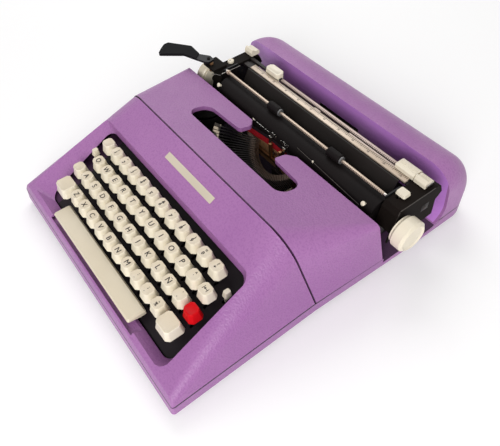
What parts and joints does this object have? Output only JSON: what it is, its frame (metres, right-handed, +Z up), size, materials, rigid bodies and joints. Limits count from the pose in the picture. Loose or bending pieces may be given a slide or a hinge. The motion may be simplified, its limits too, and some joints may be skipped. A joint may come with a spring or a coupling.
{
  "type": "portable typewriter",
  "caption": "Low portable typewriter with a wedge-shaped body, recessed keyboard, lift-off ribbon cover, type basket and travelling carriage with platen and return lever.",
  "frame": {"origin": "centre of the overall box at the table surface, under the feet", "axes": "+X to the typist's right, +Y from the keyboard to the rear, +Z up"},
  "size_m": [0.388, 0.385, 0.1034],
  "materials": {
    "shell_paint": "satin",
    "foot_rubber": "matt",
    "frame_steel": "brushed",
    "mask_black": "satin",
    "shaft_steel": "polished",
    "ribbon_cloth": "woven",
    "key_cream": "gloss",
    "key_red": "gloss",
    "lever_steel": "brushed",
    "bar_cream": "satin",
    "spool_metal": "brushed",
    "cover_plastic": "satin",
    "platen_rubber": "matt",
    "knob_plastic": "satin",
    "table_paint": "satin",
    "scale_metal": "satin",
    "stop_plastic": "gloss",
    "paddle_plastic": "satin"
  },
  "bodies": {
    "root": {"base_tray": "shell_paint", "rubber_feet": "foot_rubber", "keyboard_housing": "shell_paint", "rear_housing": "shell_paint", "side_frames": "frame_steel", "key_mask_plate": "mask_black", "key_fulcrum_shaft": "shaft_steel", "key_lever_comb": "frame_steel", "carriage_rails": "frame_steel", "spool_cups": "mask_black", "guide_posts": "frame_steel", "ribbon": "ribbon_cloth"},
    "number_row": {"number_keys": "key_cream", "number_levers": "lever_steel"},
    "upper_row": {"upper_letter_keys": "key_cream", "upper_letter_levers": "lever_steel"},
    "home_row": {"home_letter_keys": "key_cream", "home_letter_levers": "lever_steel"},
    "lower_row": {"lower_letter_keys": "key_cream", "lower_letter_levers": "lever_steel"},
    "key_g": {"key_cap_g": "key_cream", "key_lever_g": "lever_steel"},
    "typebar_g_body": {"typebar_g": "lever_steel"},
    "vibrator": {"ribbon_vibrator": "shaft_steel"},
    "space": {"space_bar": "bar_cream"},
    "shift_left": {"shift_key_left": "key_cream"},
    "shift_right": {"shift_key_right": "key_cream"},
    "shift_lock": {"shift_lock_key": "key_cream"},
    "tab": {"tab_key": "key_red"},
    "backspace": {"backspace_key": "key_cream"},
    "margin_release": {"margin_release_key": "key_cream"},
    "selector": {"ribbon_selector": "key_cream"},
    "basket": {"type_segment": "shaft_steel", "typebars": "lever_steel", "type_guide": "shaft_steel"},
    "spool_left": {"ribbon_spool_left": "spool_metal"},
    "spool_right": {"ribbon_spool_right": "spool_metal"},
    "cover": {"ribbon_cover": "shell_paint"},
    "carriage": {"carriage_frame": "frame_steel", "end_cover_left": "cover_plastic", "end_cover_right": "cover_plastic", "paper_table": "table_paint", "scale_strip": "scale_metal", "margin_rail": "scale_metal"},
    "platen_roller": {"platen": "platen_rubber", "platen_knobs": "knob_plastic"},
    "front_roller": {"feed_roller_front": "platen_rubber"},
    "rear_roller": {"feed_roller_rear": "platen_rubber"},
    "bail": {"paper_bail": "scale_metal"},
    "bail_rolls": {"bail_rollers": "platen_rubber"},
    "stop_left": {"margin_stop_left": "stop_plastic"},
    "stop_right": {"margin_stop_right": "stop_plastic"},
    "return_lever": {"return_lever_arm": "shaft_steel", "return_lever_paddle": "paddle_plastic"},
    "paper_release": {"paper_release_lever": "stop_plastic"},
    "release_left": {"carriage_release_left": "stop_plastic"},
    "release_right": {"carriage_release_right": "stop_plastic"},
    "line_button": {"line_space_button": "stop_plastic"},
    "drum": {"mainspring_drum": "spool_metal"},
    "wheel": {"escapement_wheel": "spool_metal"}
  },
  "joints": [
    {"name": "number_row_press", "type": "hinge", "parent": "root", "child": "number_row", "pos_m": [0.008, 0.0375, 0.019], "axis": [1, 0, 0], "range_deg": [0, 3.3], "stiffness_Nm_per_rad": 12, "springref_deg": -3},
    {"name": "upper_row_press", "type": "hinge", "parent": "root", "child": "upper_row", "pos_m": [0.008, 0.0375, 0.019], "axis": [1, 0, 0], "range_deg": [0, 3.3], "stiffness_Nm_per_rad": 12, "springref_deg": -3},
    {"name": "home_row_press", "type": "hinge", "parent": "root", "child": "home_row", "pos_m": [0.008, 0.0375, 0.019], "axis": [1, 0, 0], "range_deg": [0, 3.3], "stiffness_Nm_per_rad": 12, "springref_deg": -3},
    {"name": "lower_row_press", "type": "hinge", "parent": "root", "child": "lower_row", "pos_m": [0.008, 0.0375, 0.019], "axis": [1, 0, 0], "range_deg": [0, 3.3], "stiffness_Nm_per_rad": 12, "springref_deg": -3},
    {"name": "g_key_press", "type": "hinge", "parent": "root", "child": "key_g", "pos_m": [0.008, 0.0375, 0.019], "axis": [1, 0, 0], "range_deg": [0, 3.3], "stiffness_Nm_per_rad": 1.2, "springref_deg": -3},
    {"name": "space_bar_press", "type": "hinge", "parent": "root", "child": "space", "pos_m": [0.008, 0.0375, 0.019], "axis": [1, 0, 0], "range_deg": [0, 1.5], "stiffness_Nm_per_rad": 6, "springref_deg": -3},
    {"name": "left_shift_press", "type": "hinge", "parent": "root", "child": "shift_left", "pos_m": [0.008, 0.0375, 0.019], "axis": [1, 0, 0], "range_deg": [0, 3.3], "stiffness_Nm_per_rad": 3, "springref_deg": -3},
    {"name": "right_shift_press", "type": "hinge", "parent": "root", "child": "shift_right", "pos_m": [0.008, 0.0375, 0.019], "axis": [1, 0, 0], "range_deg": [0, 3.3], "stiffness_Nm_per_rad": 3, "springref_deg": -3},
    {"name": "shift_lock_press", "type": "hinge", "parent": "root", "child": "shift_lock", "pos_m": [0.008, 0.0375, 0.019], "axis": [1, 0, 0], "range_deg": [0, 3.3], "stiffness_Nm_per_rad": 1.5, "springref_deg": -3},
    {"name": "tab_press", "type": "hinge", "parent": "root", "child": "tab", "pos_m": [0.008, 0.0375, 0.019], "axis": [1, 0, 0], "range_deg": [0, 3.3], "stiffness_Nm_per_rad": 1.5, "springref_deg": -3},
    {"name": "backspace_press", "type": "hinge", "parent": "root", "child": "backspace", "pos_m": [0.008, 0.0375, 0.019], "axis": [1, 0, 0], "range_deg": [0, 3.3], "stiffness_Nm_per_rad": 1.5, "springref_deg": -3},
    {"name": "margin_release_press", "type": "hinge", "parent": "root", "child": "margin_release", "pos_m": [0.008, 0.0375, 0.019], "axis": [1, 0, 0], "range_deg": [0, 3.3], "stiffness_Nm_per_rad": 1, "springref_deg": -3},
    {"name": "ribbon_selector_move", "type": "hinge", "parent": "root", "child": "selector", "pos_m": [0.008, 0.0375, 0.019], "axis": [1, 0, 0], "range_deg": [0, 1.5]},
    {"name": "typebar_swing", "type": "hinge", "parent": "basket", "child": "typebar_g_body", "pos_m": [0.01614, 0.02669, 0.03755], "axis": [-0.9996, -0.0207, -0.0174], "range_deg": [0, 109.8]},
    {"name": "vibrator_lift", "type": "slide", "parent": "root", "child": "vibrator", "axis": [0, 0, 1], "range_m": [0, 0.009]},
    {"name": "basket_shift", "type": "slide", "parent": "root", "child": "basket", "axis": [0, 0, -1], "range_m": [0, 0.0065]},
    {"name": "left_spool_turn", "type": "hinge", "parent": "root", "child": "spool_left", "pos_m": [-0.089, 0.0245, 0.0545], "axis": [0, 0, 1], "continuous": true},
    {"name": "right_spool_turn", "type": "hinge", "parent": "root", "child": "spool_right", "pos_m": [0.119, 0.0245, 0.0545], "axis": [0, 0, 1], "continuous": true},
    {"name": "cover_lift", "type": "slide", "parent": "root", "child": "cover", "axis": [0, -0.1791, 0.9838], "range_m": [0, 0.06]},
    {"name": "carriage_travel", "type": "slide", "parent": "root", "child": "carriage", "axis": [1, 0, 0], "range_m": [-0.125, 0.105]},
    {"name": "platen_turn", "type": "hinge", "parent": "carriage", "child": "platen_roller", "pos_m": [0.0245, 0.0675, 0.067], "axis": [1, 0, 0], "continuous": true},
    {"name": "front_feed_turn", "type": "hinge", "parent": "carriage", "child": "front_roller", "pos_m": [0.0245, 0.05871, 0.04815], "axis": [1, 0, 0], "continuous": true},
    {"name": "rear_feed_turn", "type": "hinge", "parent": "carriage", "child": "rear_roller", "pos_m": [0.0245, 0.07629, 0.04815], "axis": [1, 0, 0], "continuous": true},
    {"name": "bail_lift", "type": "hinge", "parent": "carriage", "child": "bail", "pos_m": [0.0245, 0.0935, 0.078], "axis": [-1, 0, 0], "range_deg": [0, 38]},
    {"name": "bail_roller_turn", "type": "hinge", "parent": "bail", "child": "bail_rolls", "pos_m": [0.0245, 0.071, 0.088], "axis": [1, 0, 0], "continuous": true},
    {"name": "left_margin_slide", "type": "slide", "parent": "carriage", "child": "stop_left", "axis": [1, 0, 0], "range_m": [-0.025, 0.08]},
    {"name": "right_margin_slide", "type": "slide", "parent": "carriage", "child": "stop_right", "axis": [1, 0, 0], "range_m": [-0.1, 0]},
    {"name": "line_space_lever", "type": "hinge", "parent": "carriage", "child": "return_lever", "pos_m": [-0.132, 0.062, 0.094], "axis": [0, 0, 1], "range_deg": [0, 45], "stiffness_Nm_per_rad": 0.15, "springref_deg": -11.46},
    {"name": "paper_release_pull", "type": "hinge", "parent": "carriage", "child": "paper_release", "pos_m": [0.161, 0.0835, 0.06], "axis": [1, 0, 0], "range_deg": [0, 8]},
    {"name": "left_release_pull", "type": "slide", "parent": "carriage", "child": "release_left", "axis": [0, -1, 0], "range_m": [0, 0.003], "stiffness_N_per_m": 400, "springref_m": -0.001},
    {"name": "right_release_pull", "type": "slide", "parent": "carriage", "child": "release_right", "axis": [0, -1, 0], "range_m": [0, 0.003], "stiffness_N_per_m": 400, "springref_m": -0.001},
    {"name": "line_space_press", "type": "slide", "parent": "carriage", "child": "line_button", "axis": [0, 0, -1], "range_m": [0, 0.0015], "stiffness_N_per_m": 400, "springref_m": -0.0005},
    {"name": "drum_turn", "type": "hinge", "parent": "root", "child": "drum", "pos_m": [-0.062, 0.1255, 0.01], "axis": [0, 0, 1], "continuous": true},
    {"name": "escapement_turn", "type": "hinge", "parent": "root", "child": "wheel", "pos_m": [0.033, 0.1255, 0.0285], "axis": [0, 0, 1], "continuous": true}
  ],
  "couplings": [
    {"joint": "typebar_swing", "follows": "g_key_press", "ratio": 33.256},
    {"joint": "vibrator_lift", "follows": "g_key_press", "m_per_rad": 0.15618},
    {"joint": "right_shift_press", "follows": "basket_shift", "rad_per_m": 8.8565},
    {"joint": "left_shift_press", "follows": "basket_shift", "rad_per_m": 8.8565},
    {"joint": "right_spool_turn", "follows": "left_spool_turn", "ratio": 1},
    {"joint": "front_feed_turn", "follows": "platen_turn", "ratio": -3.5556},
    {"joint": "rear_feed_turn", "follows": "platen_turn", "ratio": -3.5556},
    {"joint": "bail_roller_turn", "follows": "platen_turn", "ratio": -3.2}
  ]
}
